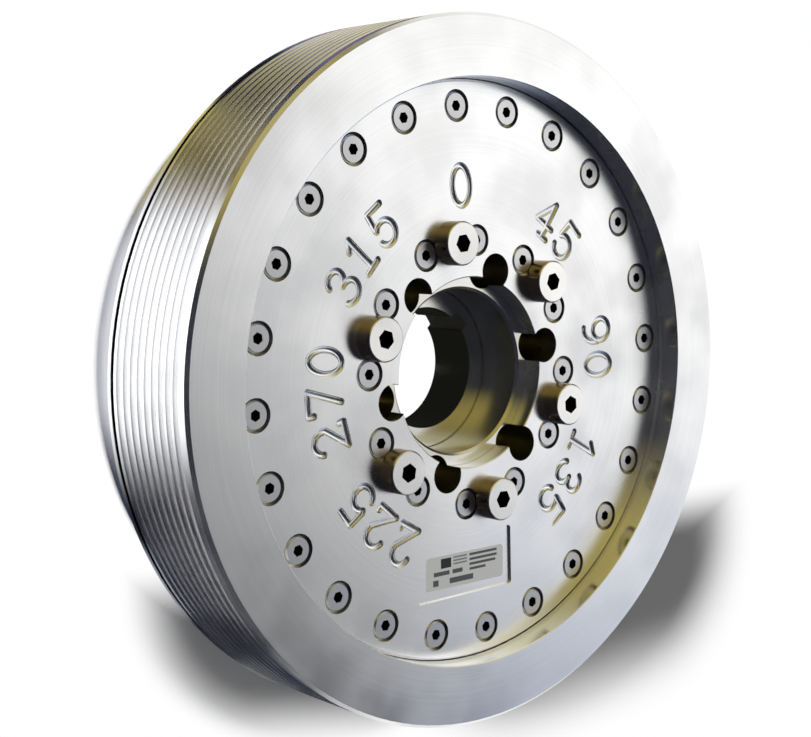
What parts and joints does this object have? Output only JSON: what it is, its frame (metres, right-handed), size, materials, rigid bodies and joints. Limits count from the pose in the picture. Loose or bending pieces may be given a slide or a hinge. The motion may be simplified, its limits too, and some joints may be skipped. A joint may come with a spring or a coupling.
{
  "type": "harmonic balancer",
  "caption": "Crankshaft harmonic balancer: ribbed belt pulley shell, bolted steel hub and screwed face plate over an inertia ring floating on O-rings.",
  "frame": {"origin": "on the crank axis, in the plane of the rear face that the balancer lies on", "axes": "+Z along the crank axis from the rear face to the front face; +Y through the first outer screw"},
  "size_m": [0.213, 0.213, 0.0694],
  "materials": {
    "shell_aluminium": "turned satin",
    "plate_aluminium": "turned satin",
    "hub_steel": "turned",
    "ring_steel": "turned",
    "oring_rubber": "matt",
    "screw_steel": "satin",
    "bolt_steel": "plated satin",
    "label_foil": "brushed foil"
  },
  "bodies": {
    "root": {"shell": "shell_aluminium", "cover": "plate_aluminium", "hub": "hub_steel", "inertia_ring": "ring_steel", "front_outer_oring": "oring_rubber", "front_inner_oring": "oring_rubber", "rear_outer_oring": "oring_rubber", "rear_inner_oring": "oring_rubber", "radial_front_oring": "oring_rubber", "radial_rear_oring": "oring_rubber", "bore_front_oring": "oring_rubber", "bore_rear_oring": "oring_rubber", "outer_screws": "screw_steel", "inner_screws": "screw_steel", "main_bolts": "bolt_steel", "rating_label": "label_foil"}
  },
  "joints": []
}
